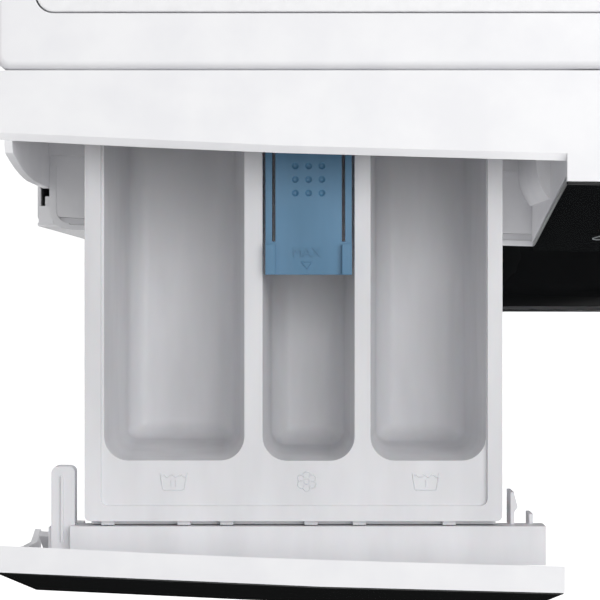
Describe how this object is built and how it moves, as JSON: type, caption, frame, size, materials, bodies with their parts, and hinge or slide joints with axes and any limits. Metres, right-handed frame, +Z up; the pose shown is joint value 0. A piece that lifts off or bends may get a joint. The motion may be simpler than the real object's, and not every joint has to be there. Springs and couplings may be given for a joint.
{
  "type": "front load washing machine",
  "caption": "Front load washing machine with a round dark glass door, a leaning black control panel, a dial and a detergent drawer drawn open to show its compartments.",
  "frame": {"origin": "on the floor, in the middle of the footprint of the machine with its drawer drawn open", "axes": "+Z up, -Y the front with the door and drawer, +X to the right of a person facing the front"},
  "size_m": [0.6, 0.717, 0.85],
  "materials": {
    "white_enamel": "powder-coated white enamel, fine orange peel",
    "white_plastic": "moulded white ABS, satin",
    "worktop_laminate": "white melamine laminate",
    "black_panel": "gloss black",
    "grey_plastic": "light grey polypropylene",
    "drawer_plastic": "white polypropylene, satin",
    "blue_plastic": "blue polypropylene",
    "galvanised_steel": "galvanised sheet",
    "stainless_steel": "brushed stainless",
    "machined_steel": "turned steel",
    "cast_aluminium": "as cast",
    "tinted_glass": "dark tinted, glossy",
    "clear_glass": "pressed clear glass",
    "black_abs": "black ABS, semi-gloss",
    "grey_epdm": "grey EPDM rubber",
    "black_rubber": "black rubber",
    "tub_polypropylene": "glass-filled polypropylene",
    "concrete": "cast concrete",
    "circuit_board": "green solder resist",
    "copper_winding": "enamelled copper",
    "black_plastic": "black polypropylene",
    "knob_satin": "satin silver-grey"
  },
  "bodies": {
    "cabinet": {"base_tray": "black_plastic", "cabinet_side_left": "white_enamel", "cabinet_side_right": "white_enamel", "control_board": "circuit_board", "control_panel_glass": "black_panel", "control_panel_housing": "white_plastic", "cord_gland": "black_plastic", "counterweight_front": "concrete", "counterweight_top": "concrete", "cover_screws": "machined_steel", "dispenser_hose": "black_rubber", "dispenser_housing": "grey_plastic", "door_gasket": "grey_epdm", "door_hinge_bracket": "machined_steel", "door_lock": "black_plastic", "drain_pump": "black_plastic", "drum_bearings": "machined_steel", "front_panel": "white_enamel", "inlet_valve": "tub_polypropylene", "motor_stator": "copper_winding", "rear_access_cover": "grey_plastic", "rear_panel": "galvanised_steel", "shaft_seal": "black_rubber", "sump_hose": "black_rubber", "top_rails": "galvanised_steel", "tub_dampers": "black_plastic", "tub_front": "tub_polypropylene", "tub_heater": "stainless_steel", "tub_rear": "tub_polypropylene", "tub_springs": "machined_steel", "worktop_frame": "white_plastic", "worktop_inset": "worktop_laminate"},
    "drawer": {"drawer_box": "drawer_plastic", "drawer_front_shell": "white_plastic", "drawer_fascia": "black_panel", "drawer_inner_cover": "drawer_plastic"},
    "siphon_cap": {"softener_siphon_cap": "blue_plastic"},
    "door": {"door_ring_outer": "black_abs", "door_cover_glass": "tinted_glass", "door_ring_inner": "grey_plastic", "door_glass_bowl": "clear_glass", "door_hinge_arm": "cast_aluminium", "door_hinge_pin": "machined_steel"},
    "latch": {"door_latch_hook": "machined_steel"},
    "drum": {"drum_shell": "stainless_steel", "drum_back": "stainless_steel", "drum_lifters": "grey_plastic", "drum_spider": "cast_aluminium", "drum_shaft": "machined_steel", "motor_rotor": "galvanised_steel", "rotor_bolt": "machined_steel"},
    "knob": {"program_knob": "knob_satin"},
    "power_key": {"power_button": "knob_satin"},
    "start_key": {"start_button": "knob_satin"},
    "flap": {"filter_flap": "white_plastic"},
    "filter": {"pump_filter_cap": "black_plastic"},
    "foot_fl": {"foot_front_left": "black_rubber"},
    "foot_fr": {"foot_front_right": "black_rubber"},
    "foot_rl": {"foot_rear_left": "black_rubber"},
    "foot_rr": {"foot_rear_right": "black_rubber"}
  },
  "joints": [
    {"name": "drawer_slide", "type": "slide", "parent": "cabinet", "child": "drawer", "axis": [0, -1, 0], "range_m": [-0.142, 0.03]},
    {"name": "siphon_cap_lift", "type": "slide", "parent": "drawer", "child": "siphon_cap", "axis": [0, 0, 1], "range_m": [0, 0.012]},
    {"name": "door_hinge", "type": "hinge", "parent": "cabinet", "child": "door", "pos_m": [-0.2265, -0.22247, 0.42], "axis": [0, 0, -1], "range_deg": [0, 120]},
    {"name": "latch_slide", "type": "slide", "parent": "door", "child": "latch", "axis": [-1, 0, 0], "range_m": [0, 0.002], "stiffness_N_per_m": 800},
    {"name": "drum_spin", "type": "hinge", "parent": "cabinet", "child": "drum", "pos_m": [0, 0.04353, 0.42], "axis": [0, 1, 0], "continuous": true},
    {"name": "knob_turn", "type": "hinge", "parent": "cabinet", "child": "knob", "pos_m": [0.02, -0.20734, 0.79], "axis": [0, -0.9836, 0.1805], "continuous": true},
    {"name": "power_press", "type": "slide", "parent": "cabinet", "child": "power_key", "axis": [0, 0.9836, -0.1805], "range_m": [0, 0.0015], "stiffness_N_per_m": 900},
    {"name": "start_press", "type": "slide", "parent": "cabinet", "child": "start_key", "axis": [0, 0.9836, -0.1805], "range_m": [0, 0.0015], "stiffness_N_per_m": 900},
    {"name": "filter_flap_hinge", "type": "hinge", "parent": "cabinet", "child": "flap", "pos_m": [0.22, -0.20267, 0.0522], "axis": [1, 0, 0], "range_deg": [0, 90]},
    {"name": "filter_cap_turn", "type": "hinge", "parent": "cabinet", "child": "filter", "pos_m": [0.22, -0.18647, 0.088], "axis": [0, -1, 0], "range_deg": [0, 90]},
    {"name": "foot_fl_turn", "type": "hinge", "parent": "cabinet", "child": "foot_fl", "pos_m": [-0.255, -0.16147, 0.02], "axis": [0, 0, 1], "continuous": true},
    {"name": "foot_fr_turn", "type": "hinge", "parent": "cabinet", "child": "foot_fr", "pos_m": [0.255, -0.16147, 0.02], "axis": [0, 0, 1], "continuous": true},
    {"name": "foot_rl_turn", "type": "hinge", "parent": "cabinet", "child": "foot_rl", "pos_m": [-0.255, 0.29353, 0.02], "axis": [0, 0, 1], "continuous": true},
    {"name": "foot_rr_turn", "type": "hinge", "parent": "cabinet", "child": "foot_rr", "pos_m": [0.255, 0.29353, 0.02], "axis": [0, 0, 1], "continuous": true}
  ]
}
